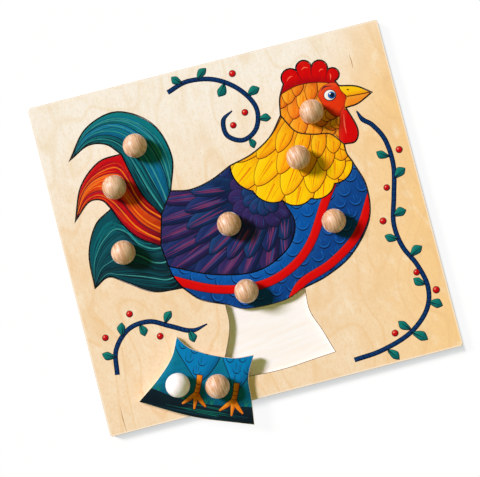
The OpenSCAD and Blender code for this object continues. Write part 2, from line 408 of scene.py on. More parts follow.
def plywood(name, base, inked=True):
    """Bare sawn birch plywood: plies on its edges, near black at their top where they are in a saw cut, which
    is painted shade, and streaked veneer on its underside."""
    material, add, point = blank_material(name)
    cut_shade_mask = add("Math", (past_board(add, point), -3.0), "LESS_THAN") if inked else 0.0
    up = add("SeparateXYZ", [add("NewGeometry", take="Normal")], take="Z")
    streak = grain(add, point, (0.7, 22, 8), 0.35, 0.7, 0.5)
    bare = layered(add, "#ecd4a8", (streak, "#d3ae78"))
    colour = layered(add, plies(add, point, base, cut_shade_mask), (add("Math", (up, -0.8), "LESS_THAN"), bare))
    surfaced(add, colour, 0.62, streak, strength=0.3, depth=0.03)
    return material


# Rotary-cut birch veneer under clear satin lacquer: cream at the top, warmer down the board and most at its
# right, partly the veneer's own tone and partly painted glare of the lamp on the lacquer at the top, with soft
# clouds, faint growth rings, streaks and flecks along the short side, and a paler band along the outer sides,
# a painted highlight of the eased rims
birch_veneer, add, point = blank_material("lacquered_birch_veneer")
x, y = (add("SeparateXYZ", [point], take=axis) for axis in "XY")
# Painted glare and tone: lowest at the top, where the veneer is palest, rising down the board and to its right
veneer_tone_and_glare_fade = add("Math", (y, -0.0065, 0.6275), "MULTIPLY_ADD")
right_side = add("MapRange", (x, 55, 150))
veneer_tone_and_glare_fade = add("Math", (right_side, 0.6, veneer_tone_and_glare_fade), "MULTIPLY_ADD")
veneer_tone_and_glare_fade = add("Math", (grain(add, point, (60, 90, 50)), 0.5, veneer_tone_and_glare_fade), "MULTIPLY_ADD")
veneer_tone_and_glare_fade = add("MapRange", (veneer_tone_and_glare_fade, 0.05, 1.0), interpolation_type="SMOOTHSTEP")
streak = grain(add, point, (0.9, 34, 9), 0.42, 0.7, 0.15)
ring = add("Math", (grain(add, point, (75, 130, 60), detail=1.5), 11.0), "MULTIPLY")
ring = add("Math", (ring, 0.5), "PINGPONG")
ring = add("MapRange", (ring, 0.14, 0.0, 0.0, 0.45), interpolation_type="SMOOTHSTEP")
cloud = layered(add, "#edd7b2", (veneer_tone_and_glare_fade, "#ebbe82"))
# Painted highlight of the eased rims: a paler band from 1.9 mm in to the board's outer sides
sanded = add("MapRange", (past_board(add, point), -1.9, -0.4, 0.0, 0.7))
veneer = layered(
    add, "#f8efdf", (veneer_tone_and_glare_fade, layered(add, "#f3d8b2", (right_side, "#f7cb88"))),
    (grain(add, point, (16, 30, 12), 0.45, 0.72, 0.45, detail=4.0), cloud),
    (grain(add, point, (11, 19, 9), 0.52, 0.75, 0.4, turn=0.5, detail=4.0), "#fdf2d8"),
    (grain(add, point, (1.9, 2.8, 3), 0.44, 0.72, 0.4), cloud), (ring, cloud), (streak, "#e2bf8c"),
    (grain(add, point, (0.45, 2.6, 3), 0.66, 0.74, 0.35, detail=1.0), "#c99a62"), (sanded, "#fdf1e0"))
surfaced(add, veneer, 0.42, streak, strength=0.3, depth=0.02)

navy_ink = satin("navy_ink", "#041232", "#030a1c", "#0a2448", streaks=0.2)
navy_light = satin("navy_ink_thin", "#0c3464", "#061e40", "#184878")
leaf_green = satin("leaf_green_print", "#0c7068", "#06343c", "#2e9c7c")
berry_red = satin("berry_red_print", "#cf0a0c", "#7a0410", "#f2563a")
berry_glint = satin("berry_glint_print", "#f7b9a6", "#f2563a", "#ffffff")
mineral_brown = satin("mineral_streak", "#b98a58", "#8a5a30", "#caa070", streaks=0.4)


def curve(points, steps=6, closed=False):
    """Smooth line through given points, in millimetres."""
    p = [np.array(q, float) for q in points]
    p = [p[-1]] + p + p[:2] if closed else [2 * p[0] - p[1]] + p + [2 * p[-1] - p[-2]]
    line = []
    for a, b, c, d in zip(p, p[1:], p[2:], p[3:]):
        for t in np.arange(steps) / steps:
            line.append(0.5 * (2 * b + (c - a) * t + (2 * a - 5 * b + 4 * c - d) * t ** 2
                               + (3 * b - a - 3 * c + d) * t ** 3))
    return np.array(line if closed else line + [p[-2]])


def stroke(points, widths, steps=5):
    """Outline of a brush stroke along smooth points, as wide at each point as widths says."""
    line = curve(points, steps)
    width = np.interp(np.linspace(0, len(points) - 1, len(line)), range(len(points)), widths)
    side = left_of(np.gradient(line, axis=0)) * np.maximum(width, 0.12)[:, None] / 2
    return np.concatenate((line + side, (line - side)[::-1]))


def drawn(points, widths, paint, steps=5, soft=0.0):
    """A brush stroke in a paint."""
    return Shape(stroke(points, widths, steps), paint, soft)


def disc(centre, width, height=None, turn=0.0):
    """Round or oval outline of 24 points."""
    a = np.arange(24) / 24 * math.tau
    oval = np.stack((np.cos(a) * width / 2, np.sin(a) * (height or width) / 2), axis=1)
    c, s = math.cos(turn), math.sin(turn)
    return oval @ np.array(((c, s), (-s, c))) + np.array(centre, float)


def feather(root, tip, width, pointed=0.5, bend=0.0):
    """Outline of a feather or leaf from root to tip; bend sways its middle to the left, in millimetres."""
    root, tip = np.array((root, tip), float)
    along = tip - root
    shape = [(0, 0.3), (0.3, 0.8), (0.6, 1), (0.83, 0.8 - 0.22 * pointed), (0.95, 0.46 - 0.26 * pointed)]
    right, left = ([root + along * t + left_of(along) * (side * w * width / 2 + bend * math.sin(math.pi * t))
                    for t, w in shape] for side in (-1, 1))
    return curve(right + [tip] + left[::-1], 4, closed=True)


def inked(outline, paint, ink=black_ink, line=0.55, soft=2.2, fade=None):
    """A painted shape with an ink line round it, a little thicker at its lower right."""
    inner = moved_in(outline, line) + np.array((-0.10, 0.14)) * line / 0.5
    return [Shape(outline, ink), Shape(inner, paint, soft, fade)]


VINE_W, CORE_W = 4.1, 2.4
vines = [
    [(60, -129), (84, -127), (110, -119), (128, -104), (134, -86), (130, -66), (122, -48), (120, -28),
     (126, -6), (132, 18), (131, 40), (124, 55), (117, 62), (114, 70)],
    [(-34, 124), (-16, 129), (6, 125), (24, 112), (34, 94), (30, 77), (17, 70), (5, 77), (5, 90), (14, 96)],
    [(-132, -92), (-128, -72), (-114, -58), (-96, -56), (-80, -64), (-64, -72), (-50, -70)],
]
# Each leaf's root, tip and width
leaves = [(88, -127, 96, -138, 7), (111, -118.5, 123, -128, 8), (112, -117, 103, -107, 7),
          (131, -98, 142, -104, 8), (133, -84, 124, -76, 7), (126, -58, 138, -52, 8), (121, -42, 110, -36, 7),
          (121, -22, 133, -20, 8), (130, 8, 141, 14, 8), (131, 26, 121, 33, 7), (-20, 128, -28, 136, 7),
          (-8, 128, 2, 136, 7), (14, 120, 6, 110, 8), (29, 105, 41, 109, 8), (33, 84, 44, 82, 7),
          (22, 71, 24, 61, 6), (-129, -78, -140, -72, 7), (-120, -63, -118, -51, 7),
          (-104, -56, -102, -67, 7), (-84, -61, -76, -52, 7), (-66, -71, -64, -82, 7)]
berries = [(140, -90, 5.2), (128, -72, 4.6), (112, -24, 5), (140, 30, 5), (122, 2, 4.6), (98, -116, 4.8),
           (22, 126, 5), (24, 92, 4.8), (12, 84, 4.6), (-110, -46, 4.8), (-90, -70, 4.8), (-134, -60, 4.6)]
art = []
for line in vines:
    for width, end, paint in ((VINE_W, 1.2, navy_ink), (CORE_W, 0.2, navy_light)):
        art.append(drawn(line, [width] * (len(line) - 1) + [end], paint, 8, soft=0.8))
    middle = curve(line, 16)
    side = left_of(np.gradient(middle, axis=0)) * 1.3
    for k in range(2, len(middle) - 14, 3):
        twist = [middle[k] + side[k], (middle[k] + middle[k + 1]) / 2, middle[k + 1] - side[k]]
        art.append(drawn(twist, [0.3, 0.62, 0.3], navy_ink, 2))
for *ends, width in leaves:
    root, tip = np.reshape(ends, (2, 2)).astype(float)
    leaf = feather(root + (tip - root) * 0.12, tip, width, pointed=1.0, bend=0.8)
    art += inked(leaf, leaf_green, line=0.5, soft=1.8)
    art.append(drawn([root + (tip - root) * t for t in (0, 0.45, 0.82)], [1.3, 0.6, 0.15], black_ink))
for x, y, width in berries:
    art += inked(disc((x, y), width + 1), berry_red, line=0.5, soft=1.6)
    art.append(Shape(disc((x - 0.8, y + 0.9), 0.9), berry_glint))
for line in ([(120, 105), (120.4, 111), (119.8, 118)], [(-136, -118), (-136.5, -128), (-136, -139)]):
    art.append(drawn(line, [0.15, 0.75, 0.15], mineral_brown))

mesh = eased_copy("frame_board", BOARD_RIM, inner_rim=0.15)
# The eased rims round the opening take the blue-black ink as painted shade of the saw cut, beside the thin
# printed line
paints = covered(mesh, (birch_veneer,), art, 1.2, black_ink, everywhere=False)
board_ply = plywood("birch_plywood_at_the_board", 3.0)
finished(mesh, "sawn_board", [board_ply] + paints, "frame_board", "board")

# Head
# Sawn from the same plywood, primed and painted: a red comb of four lobes, a scarlet face with a bright
# eye, a yellow beak, a red wattle, and rows of orange neck feathers that run down to the saw cut.

comb_red = satin("comb_red_paint", "#d20406", "#8c0410", "#f04a2c", turn=1.2, streaks=0.35)
face_scarlet = satin("face_scarlet_paint", "#e2330c", "#a81208", "#f4713a", streaks=0.4)
orange = satin("neck_orange_paint", "#f08a1e", "#c8480c", "#f9b23a", turn=-1.1)
amber = satin("neck_amber_paint", "#f6a420", "#d5600e", "#fcc648", turn=-1.1)
beak_yellow = satin("beak_yellow_paint", "#fac60a", "#ee8a12", "#fde25a", streaks=0.35)
brown_ink = satin("red_brown_ink", "#5a1a0a", "#32100a", "#7c3014", streaks=0.2)
crease_red = satin("crease_red_paint", "#8f0610", "#640410", "#b01814", streaks=0.2)
eye_white = satin("eye_white_paint", "#f7efe0", "#cfc4b4", "#ffffff", streaks=0.2)
iris_blue = satin("iris_blue_paint", "#1757a4", "#0a2a5c", "#3a86d0", streaks=0.2)
pink_light = satin("pink_light_paint", "#f5694a", "#e2330c", "#fba68a", streaks=0.3)
vein_orange = satin("vein_orange_paint", "#e6760e", "#c8480c", "#f4a02c", streaks=0.3)

crown = curve([(100, 62), (91, 72), (84, 86), (73, 97), (58, 103)], 10)
cut = curve([(97, 46), (88, 57), (75, 60), (61, 66), (52, 82)], 10)
hem = curve([(100, 30), (81, 16), (59, 9), (36, 13), (14, 27), (1, 52)], 10)


def part_way(line, share):
    """Point at a share of a line's points."""
    return np.array([np.interp(share * (len(line) - 1), range(len(line)), line[:, k]) for k in (0, 1)])


def down_the_neck(s, f):
    """Point of the neck: s runs from its front to its back, and f from -1 at the crown, through 0 at the saw
    cut between head and hackle, to 1 at the hackle's hem."""
    a, b, c = (part_way(line, s) for line in (crown, cut, hem))
    return b + (c - b) * f if f > 0 else b + (b - a) * f


def dry_brush(place, spread, paints, count, seed, first=(0.3, 0.6), last=(0.72, 0.97), thick=(0.35, 0.95)):
    """Fine tapered strokes of a nearly dry brush; place gives the point a share t along and f across."""
    draw = np.random.default_rng(seed)
    art = []
    for k in range(count):
        f, start, end, width = (draw.uniform(*limits) for limits in (spread, first, last, thick))
        line = [place(t, f) for t in np.linspace(start, end, 4)]
        art.append(drawn(line, [0.12, width, width, 0.12], paints[k % len(paints)], 3))
    return art


def neck_feathers(rows, strokes):
    """Rows of lapping feathers down the neck, the lowest first, each with a vein and a few brush strokes."""
    art = []
    for places, reach, root_at, width, paint in rows:
        for s in places:
            root, tip = down_the_neck(s, root_at), down_the_neck(s, reach)
            step = tip - root
            side = left_of(step) * width
            art += inked(feather(root, tip, width, pointed=0.35), paint, brown_ink, soft=3.2,
                         fade=(root + step * 0.3, root + step * 0.62))
            art += dry_brush(lambda t, f: root + step * t + side * f * (1.1 - 0.6 * t), (-0.32, 0.32),
                             strokes, 7, len(art), (0.35, 0.6), (0.68, 0.9), (0.15, 0.4))
            art.append(drawn([root + step * t for t in (0.5, 0.75, 0.93)], [0.9, 0.7, 0.15], vein_orange))
    return art


seated_ply = plywood("birch_plywood_at_a_piece", 3.0)


def seated(name, ground, art, spacing):
    """Makes a painted piece that sits in the board, its eased rim in blue-black ink as painted shade of the saw
    cut round it.
    """
    mesh = eased_copy(name + "_piece", PIECE_RIM)
    paints = covered(mesh, (ground, 3.0), art, spacing, black_ink)
    finished(mesh, name, [seated_ply] + paints, name + "_piece", name)


fifths, sixths = (0.1, 0.3, 0.5, 0.7, 0.9), (0.0, 0.2, 0.4, 0.6, 0.8, 1.0)
art = neck_feathers((
    (fifths, 0.1, -0.7, 15, amber), (sixths, -0.25, -0.95, 13, orange),
    (fifths, -0.55, -1.3, 12, amber), (sixths, -0.85, -1.6, 11, orange)), (vein_orange, amber))
comb_foot = curve([(110, 92), (99, 97.5), (88, 101), (76, 102.5), (66, 101.5), (52, 97)])
comb = np.concatenate((comb_foot, [(44, 104), (50, 126), (104, 126), (114, 106)]))
art += inked(comb, comb_red, brown_ink, line=0.6, soft=4.5)
creases = ([(100, 110), (97, 105), (95.5, 101.5)], [(87, 116), (85.5, 110), (86, 105)],
           [(74, 116), (75, 110), (77, 106)])
lights = ([(92, 109.5), (94, 111), (96, 110.5)], [(78, 114.5), (81, 116), (84, 115)],
          [(64, 108.5), (67, 111), (70, 111.5)], [(99.5, 100.5), (100.5, 103.5), (100.5, 106)])
art += [drawn(line, [1.5, 0.8, 0.15], crease_red) for line in creases]
art += [drawn(line, [0.2, 1.0, 0.3], pink_light) for line in lights]
cheek = curve([(107.5, 95), (99, 98.3), (91, 96.5), (86.3, 91), (87.5, 84), (90.5, 76), (96, 69.5), (104, 70),
               (108.5, 76), (108.5, 86)], closed=True)
wattle = curve([(106.5, 77.5), (101, 73), (98, 65), (95, 56), (94.5, 47), (101, 40), (116, 44), (118, 60),
                (110, 76)], closed=True)
art += inked(cheek, face_scarlet, brown_ink, soft=3.2) + inked(wattle, comb_red, brown_ink, soft=3.5)
art.append(drawn([(103, 70), (101.5, 62), (101, 54)], [0.3, 1.2, 0.3], pink_light))
beak_top = np.concatenate((
    curve([(109.2, 83.6), (116, 82.9), (124, 82.4), (133, 82.2)]), curve([(133, 84), (120, 93), (105, 97)]),
    curve([(105, 97), (105.4, 90), (109.2, 83.6)])[1:-1]))
beak_low = np.concatenate((
    curve([(109.2, 83.8), (116, 83.1), (124, 82.6), (133, 82.2)])[::-1],
    curve([(109.2, 83.8), (106.4, 79.5), (104, 73)])[1:], [(118, 72), (133, 80)]))
art += inked(beak_low, orange, brown_ink, soft=2.4)
art += inked(beak_top, beak_yellow, brown_ink, soft=2.6)
art.append(Shape(disc((111.5, 89), 2.4, 1.1, turn=-0.5), brown_ink))
art += inked(disc((96, 88.2), 10.6, 9.8), eye_white, line=0.65, soft=1.6)
art += [Shape(disc((97.2, 88.0), 6.2), iris_blue, 1.6), Shape(disc((97.7, 88.0), 3.7), black_ink),
        Shape(disc((96.2, 89.6), 1.5), eye_white)]
art.append(drawn([(89.4, 93.4), (93.4, 96.1), (99.5, 95.4)], [0.3, 1.2, 0.3], black_ink))
seated("head", orange, art, 1.5)

# Hackle
# The cape of long neck feathers: rows of yellow feathers, deeper towards the head, whose lowest row was sawn
# along its feathers' ends.

yellow = satin("hackle_yellow_paint", "#fccc06", "#f08e10", "#ffe128", turn=-1.2, streaks=0.4)
gold = satin("hackle_gold_paint", "#f9ba0c", "#e4740c", "#fdd42c", turn=-1.2, streaks=0.4)

art = neck_feathers((
    (fifths, 1.22, 0.35, 25, yellow), (sixths, 0.92, 0.1, 20, yellow),
    ((-0.02,) + fifths + (1.02,), 0.64, -0.15, 16, gold), (sixths, 0.38, -0.4, 13, gold)),
    (vein_orange, gold))
seated("hackle", gold, art, 1.6)

# Wing
# A folded wing in deep indigo: ten long flight feathers under a row of coverts and two rows of small rounded
# ones, with dry strokes of violet pink along the shafts.

indigo = satin("wing_indigo_paint", "#1b2858", "#0c122c", "#30447c", turn=0.4, streaks=0.6)
violet = satin("wing_violet_paint", "#2e2454", "#130f2c", "#4a3670", turn=0.2, streaks=0.6)
wing_blue = satin("wing_blue_paint", "#173460", "#0b1a38", "#2c5488", turn=0.4)
shaft_pink = satin("shaft_pink_paint", "#74305a", "#482040", "#9a5078", streaks=0.7)
plum = satin("wing_plum_paint", "#42285a", "#28183c", "#604076")
wing_light = satin("wing_light_paint", "#2a4478", "#1a2a56", "#406098")

art = []
# Each long feather's root and tip
flights = [(34, 4, 26, -34), (27, 2, 8, -43), (20, 2, -13, -42), (14, 4, -32, -39), (9, 6, -51, -31),
           (5, 9, -70, -21), (3, 13, -77, -8), (1, 18, -77, 7), (0, 24, -73, 22), (2, 30, -62, 38)]
coverts = [(36, 8, 29, -19), (30, 10, 13, -25), (24, 11, -4, -26), (18, 13, -20, -23), (13, 15, -34, -15),
           (10, 19, -43, -3), (9, 24, -47, 11), (8, 29, -45, 25), (6, 35, -36, 39)]
for k, ends in enumerate(flights + coverts):
    root, tip = np.reshape(ends, (2, 2)).astype(float)
    step, side = tip - root, left_of(tip - root)
    width, count, paints = (18, 13, (indigo, violet)) if k < len(flights) else (16, 10, (wing_blue, indigo))
    art += inked(feather(root, tip, width, pointed=0.2, bend=-2), paints[k % 2], line=0.6, soft=3.4,
                 fade=(root + step * 0.5, root + step * 0.72))
    art += dry_brush(lambda t, f: root + step * t + side * f * (1.15 - 0.75 * t), (-4.5, 4.5),
                     (shaft_pink, plum, wing_light), count, k)
    shaft = [root + step * t + np.array((0, -1.2)) * math.sin(math.pi * t) for t in (0.42, 0.7, 0.95)]
    art.append(drawn(shaft, [0.5, 1.0, 0.15], shaft_pink, soft=0.7))
SHOULDER = np.array((21, 22))
for reach, root_at, width, paint, angles in (
        (29, 8, 15, violet, range(118, 310, 27)), (18, 2, 12, wing_blue, range(125, 320, 34))):
    for angle in angles:
        out = np.array((math.cos(math.radians(angle)), math.sin(math.radians(angle))))
        root, tip, side = SHOULDER + out * root_at, SHOULDER + out * reach, left_of(out)
        art += inked(feather(root, tip, width, pointed=0.0), paint, line=0.6, soft=2.8)
        art += dry_brush(lambda t, f: root + (tip - root) * t + side * f, (-4, 4),
                         (plum, wing_light), 5, angle, (0.4, 0.6), (0.75, 0.92), (0.3, 0.6))
seated("wing", indigo, art, 1.6)

# Body
# The breast and belly, in royal blue with rows of rounded feathers and two bright red bands. It is the
# largest piece and takes two knobs.

royal_blue = satin("royal_blue_paint", "#07509a", "#082852", "#2270b8", turn=0.9)
deep_blue = satin("deep_blue_paint", "#0c3f80", "#081f48", "#2260a6", turn=0.9)
blue_light = satin("blue_light_paint", "#1a66b2", "#0a4c92", "#3a84cc", turn=0.9)
band_red = satin("band_red_paint", "#d60808", "#9c0610", "#ee3c24", turn=0.3, streaks=0.25)

belly = curve([(-80, -20), (-30, -42), (0, -46), (30, -38), (52, -22), (70, 4), (110, 30), (120, -20),
               (90, -70), (0, -90), (-90, -60)], closed=True)
art = [Shape(belly, deep_blue, 9.0)]
draw = np.random.default_rng(7)
for row, y in enumerate(np.arange(-70, 40, 9.5)):
    for x in np.arange(-80 + 7 * (row % 2), 125, 14):
        middle = np.array((x + draw.uniform(-0.8, 0.8), y + draw.uniform(-0.6, 0.6)))
        turn = math.radians(-90 - 55 * min(1, max(0, (60 - x) / 110)))
        out = np.array((math.cos(turn), math.sin(turn)))
        side = left_of(out)
        for paint, shift, reach, wide in ((black_ink, 0.0, 6.0, 1.0), (blue_light, -1.2, 5.0, 0.8)):
            arc = [middle + side * reach * f + out * (shift + drop)
                   for f, drop in ((1, -2.8), (0.62, 0.6), (0, 2.0), (-0.62, 0.6), (-1, -2.8))]
            art.append(drawn(arc, [0.12, wide * 0.6, wide, wide * 0.6, 0.12], paint, 4))
        seed = int(x * 7 + y * 31) % 997
        art += dry_brush(lambda t, f: middle + out * (8 * t - 9) + side * f, (-3.5, 3.5),
                         (blue_light, royal_blue), 3, seed, (0.1, 0.4), (0.6, 1.0), (0.25, 0.6))
for line in ([(92, 34), (70, 4), (50, -26), (28, -43), (0, -50), (-36, -44), (-76, -24)],
             [(118, 18), (106, -4), (88, -30), (62, -47), (34, -57), (20, -72)]):
    art += inked(stroke(line, [7.6] * len(line), 8), band_red, line=0.4, soft=1.0)
seated("body", royal_blue, art, 1.7)

# Tail plumes
# Three curled plumes, each sawn as one piece and painted as three long feathers with light shafts and dry
# strokes that follow its curl: teal above, crimson in the middle, and almost black teal below.

teal = satin("plume_teal_paint", "#0b7478", "#06343e", "#2a928c", turn=1.0)
sea = satin("plume_sea_paint", "#0a6a8e", "#06384e", "#2490b4", turn=1.0)
pine = satin("plume_pine_paint", "#0a4c54", "#04242c", "#1c7c7c", turn=1.0)
crimson = satin("plume_crimson_paint", "#c50a12", "#70040f", "#ea4030", turn=0.6, streaks=0.4)
ruby = satin("plume_ruby_paint", "#9c0a1e", "#54040f", "#cc2a34", turn=0.6, streaks=0.4)
rust = satin("plume_rust_paint", "#e04a10", "#9c1c08", "#f58a3a", turn=0.6, streaks=0.4)
night = satin("plume_night_paint", "#0c3e46", "#041a20", "#1c6a70", turn=-0.4)
black = satin("plume_black_paint", "#0a2429", "#030c10", "#1a4a50", turn=-0.4)
shaft_light = satin("shaft_light_paint", "#3a948c", "#1c7474", "#78beb2")
shaft_gold = satin("shaft_gold_paint", "#ec7c18", "#d8560c", "#f6a83c")


def plume_art(outer, inner, paints, shaft, strokes):
    """Three feathers side by side between a plume's outer and inner edge, each with its shaft and strokes."""
    edges = []
    for points in (outer, inner):
        line = curve(points, 8)
        run = np.concatenate(([0], np.cumsum(np.linalg.norm(np.diff(line, axis=0), axis=1))))
        even = np.linspace(-0.02, 1, 52) * run[-1]
        edges.append(np.stack([np.interp(even, run, line[:, k]) for k in (0, 1)], axis=-1))

    def at(t, f):
        a, b = (part_way(edge, t) for edge in edges)
        return a + (b - a) * f

    art = []
    for k, (low, high, paint) in enumerate(zip((-0.12, 0.30, 0.66), (0.42, 0.76, 1.12), paints)):
        a, b = (edges[0][::2] + (edges[1] - edges[0])[::2] * f for f in (low, high))
        vane = np.concatenate((a, b[::-1][1:]))
        art += inked(vane, paint, line=0.6, soft=3.4, fade=(a[1], a[9]))
        low, high = max(low, 0.02), min(high, 0.98)
        for start, end, count, thick in (
                (0.02, 0.3, 16, (0.3, 0.9)), (0.3, 0.55, 14, (0.3, 0.8)), (0.5, 0.75, 8, (0.2, 0.5))):
            art += dry_brush(at, (low + 0.05, high - 0.03), strokes[k], count, int(start * 100) + k * 7,
                             (start, end), (end + 0.08, min(end + 0.3, 0.97)), thick)
        spine = [at(t, (low + high) / 2) for t in np.linspace(0.03, 0.93, 9)]
        art.append(drawn(spine, np.interp(range(9), (0, 8), (1.3, 0.2)), shaft, soft=0.6))
    return art


seated("upper_plume", sea, plume_art(
    outer=[(-50, 40), (-44, 72), (-53, 102), (-79, 119), (-107, 112), (-127, 89)],
    inner=[(-62, 22), (-75, 46), (-80, 65), (-84, 84), (-94, 95), (-109, 98), (-127, 89)],
    paints=(teal, sea, pine), shaft=shaft_light,
    strokes=((pine, sea, pine, shaft_light), (pine, teal, pine, shaft_light), (teal, black))),
    1.6)
seated("middle_plume", rust, plume_art(
    outer=[(-62, 30), (-75, 46), (-80, 65), (-84, 84), (-104, 82), (-123, 66), (-135, 39)],
    inner=[(-69, 0), (-87, 13), (-97, 27), (-103, 42), (-109, 51), (-120, 52), (-135, 39)],
    paints=(crimson, rust, ruby), shaft=shaft_gold,
    strokes=((ruby, rust, ruby), (crimson, crimson, shaft_gold), (crimson, rust, crimson))),
    1.6)
seated("lower_plume", night, plume_art(
    outer=[(-68, 6), (-87, 13), (-97, 27), (-103, 42), (-119, 32), (-130, 10), (-133, -19)],
    inner=[(-60, -20), (-62, -36), (-86, -33), (-106, -20), (-119, -12), (-133, -19)],
    paints=(pine, night, black), shaft=shaft_light,
    strokes=((black, teal), (black, pine), (night, pine))),
    1.6)

# Feet, the loose piece
# It carries the thighs, the orange legs and a nearly black hill. It was lifted out and laid half over the
# board's lower edge, turned by 25 degrees. Its art is drawn in place in the recess and laid with it.

sky_blue = satin("sky_blue_paint", "#08708a", "#053c4c", "#1c94b0", turn=0.1, streaks=0.6)
thigh_blue = satin("thigh_blue_paint", "#067aae", "#064a70", "#1c9acc", turn=1.3)
bare_edge = satin("bare_sanded_edge", "#f0dcb8", "#d8ba88", "#fff4dc", streaks=0.2)
hill_dark = satin("hill_dark_paint", "#08161c", "#04090c", "#16343c", turn=0.1, streaks=0.7)
leg_orange = satin("leg_orange_paint", "#e88214", "#b8480c", "#f6ac40", streaks=0.4)
grass_green = satin("grass_green_paint", "#0e6e5c", "#063a34", "#2e9c7c", streaks=0.4)

art = []
for thigh in ([(-34, -52), (-31, -66), (-19, -80), (-9, -90), (-3, -90), (4, -80), (8.5, -67), (9, -52)],
              [(8, -52), (9.5, -68), (17, -81), (22, -91), (28, -91), (34, -79), (38, -66), (39, -52)]):
    art += inked(curve(thigh, closed=True), thigh_blue, line=0.6, soft=4.0)
for x, y in ((-24, -65), (-14, -67), (-3, -66), (-17, -75), (-6, -76), (-9, -84), (16, -69), (26, -67),
             (23, -77), (32, -76), (25, -86)):
    seed = int(x * 13 + y) % 997
    art += dry_brush(lambda t, f: np.array((x + f * (1 - 0.3 * t), y + 7 - 9 * t)), (-4, 4),
                     (blue_light, pine), 6, seed, (0.0, 0.3), (0.6, 1.0), (0.25, 0.7))
    arc = [(x - 3.8, y + 1.8), (x - 2.2, y - 1.2), (x, y - 2.2), (x + 2.2, y - 1.2), (x + 3.8, y + 1.8)]
    art.append(drawn(arc, [0.12, 0.55, 0.8, 0.55, 0.12], black_ink, 4))
hill = curve([(-64, -103), (-44, -103.5), (-24, -107), (-2, -108.5), (22, -106.5), (40, -104), (60, -104)])
for x in (-46, -42, -37, -16, -12, 3, 8, 36, 41):
    y = float(np.interp(x, hill[:, 0], hill[:, 1]))
    for lean in (-3.5, -1, 2.5):
        blade = [(x, y - 1.5), (x + lean * 0.4, y + 2.5), (x + lean, y + 5.5)]
        art.append(drawn(blade, [1.5, 0.9, 0.2], grass_green, soft=0.9))
art += inked(np.concatenate((hill, [(60, -130), (-64, -130)])), hill_dark, line=0.5, soft=5.0)
art += dry_brush(lambda t, f: np.array((-52 + 104 * t, -110 - f + 8 * (t - 0.5) ** 2)), (0, 9),
                 (grass_green, night), 22, 5, (0.05, 0.75), (0.3, 0.95), (0.2, 0.5))
for x, y in ((-6, -86), (25, -87)):
    toes = [stroke([(x, -101), (x + out * 0.5, -106.5), (x + out, down)], [3.6, 3.4, 1.3])
            for out, down in ((-10, -111.5), (0.5, -114), (9.5, -110.5))]
    toes.append(stroke([(x, y), (x + 0.4, -95), (x - 0.2, -104)], [4.4, 3.8, 4.4]))
    art += [Shape(moved_in(toe, -0.5), black_ink) for toe in toes]
    art += [Shape(toe, leg_orange, 1.4) for toe in toes]
    art += [drawn([(x - 1.9, ring), (x, ring - 0.8), (x + 2.1, ring)], [0.3, 0.5, 0.3], brown_ink)
            for ring in (-93, -96.5, -100)]

# The loose piece's place comes from its packed knobs, which stand at known points of the recess's drawing
left, right = ((low + high) / 2 / MM for low, high in (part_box("feet_left_knob"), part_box("feet_right_knob")))
turn = math.atan2(right.y - left.y, right.x - left.x) - math.atan2(5, 32)
rotate = np.array(((math.cos(turn), math.sin(turn)), (-math.sin(turn), math.cos(turn))))
laid = np.array((left.x, left.y)) - np.array((-22.0, -97.0)) @ rotate
art = [s._replace(outline=s.outline @ rotate + laid) for s in art]
dusk = np.array(((0.0, -108.0), (0.0, -76.0))) @ rotate + laid
mesh = eased_copy("feet_piece", 0.3)
paints = covered(mesh, (sky_blue, 3.5, dusk), art, 1.6, bare_edge)
loose_ply = plywood("birch_plywood_at_the_loose_piece", 8.0, inked=False)
finished(mesh, "feet", [loose_ply] + paints, "feet_piece", "feet")

# Knobs and dowels
# Each knob is turned from beech: a foot, a hollow neck and a ball, waxed to a soft shine, and one is
# lacquered white. A dowel pin glued into it and through its piece holds it.

KNOB_R, KNOB_H, FOOT_R, NECK_R, NECK_H, FOOT_H, CHAMFER = 10.0, 18.0, 5.5, 4.4, 3.5, 0.6, 0.2
HOLE_R, HOLE_H = 3.1, 10.0
BALL_START = math.radians(26)


def turned_beech(name, wood, growth, ray, pale, wax, wax_roughness, fuzz):
    """Beech turned along its grain: soft growth bands, short dark rays, pale stripes, and wax or lacquer."""
    material, add, point = blank_material(name)
    bands = grain(add, point, (1.3, 30, 9), 0.38, 0.62, turn=0.12)
    rays = grain(add, point, (0.5, 7.5, 2.6), 0.54, 0.68, 0.6, turn=0.16, detail=1.5)
    stripes = grain(add, point, (0.9, 9, 5), 0.56, 0.7, 0.6, turn=0.1, detail=1.0)
    colour = layered(add, wood, (bands, growth), (rays, ray), (stripes, pale))
    surfaced(add, colour, 0.55, rays, strength=0.25, depth=0.04, more={
        "Coat Weight": wax, "Coat Roughness": wax_roughness, "Sheen Weight": fuzz, "Sheen Roughness": 0.3})
    return material


waxed_beech = turned_beech("waxed_turned_beech", "#e0b68e", "#c28c5a", "#945a34", "#f2dac0", 0.5, 0.42, 0.6)
white_beech = turned_beech("white_lacquered_turned_beech", "#fdf8f4", "#f8ece4", "#ecd6c8", "#ffffff",
                           0.5, 0.3, 0.3)

# A dowel's end, sanded flush: dull, tan, and dotted with the dark mouths of its pores
end_grain, add, point = blank_material("sanded_beech_end_grain")
pores = grain(add, point, (0.35, 0.35, 2.5), 0.5, 0.66, 0.6, detail=1.5)
surface = add("BsdfPrincipled", {"Base Color": layered(add, "#ddb384", (pores, "#a87444")), "Roughness": 0.7})
add("OutputMaterial", {"Surface": surface})

